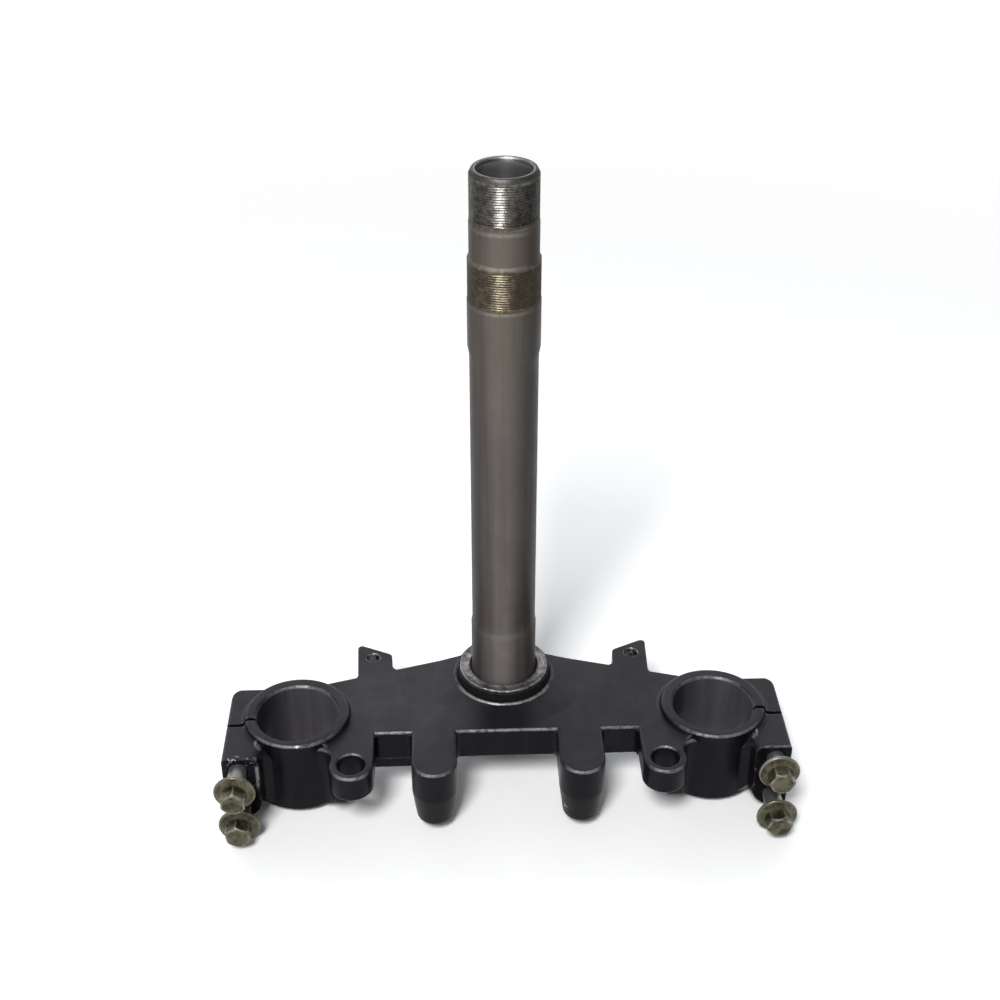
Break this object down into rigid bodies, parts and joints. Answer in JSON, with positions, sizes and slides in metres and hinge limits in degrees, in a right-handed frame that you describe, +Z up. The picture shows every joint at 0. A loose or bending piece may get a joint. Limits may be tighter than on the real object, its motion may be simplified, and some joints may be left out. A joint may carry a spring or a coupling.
{
  "type": "motorcycle triple clamp",
  "caption": "Lower fork yoke with split pinch clamps, flange bolts, steering stops and a pressed-in hollow steering stem.",
  "frame": {"origin": "on the steering stem axis, at the top face of the lower bearing race", "axes": "+Z up the steering stem, -Y to the front of the motorcycle, +X to the fork tube at the right of the picture"},
  "size_m": [0.2474, 0.0979, 0.2755],
  "materials": {
    "black_paint": "satin black paint, worn grey on the stops",
    "stem_steel": "used bare steel with a brown film",
    "race_steel": "turned bearing steel, dulled",
    "seal_rubber": "matt black rubber",
    "bolt_zinc": "olive yellow zinc plate"
  },
  "bodies": {
    "root": {"yoke": "black_paint", "steering_stem": "stem_steel", "lower_bearing_race": "race_steel", "dust_seal": "seal_rubber", "left_upper_pinch_bolt": "bolt_zinc", "left_lower_pinch_bolt": "bolt_zinc", "right_upper_pinch_bolt": "bolt_zinc", "right_lower_pinch_bolt": "bolt_zinc"}
  },
  "joints": []
}
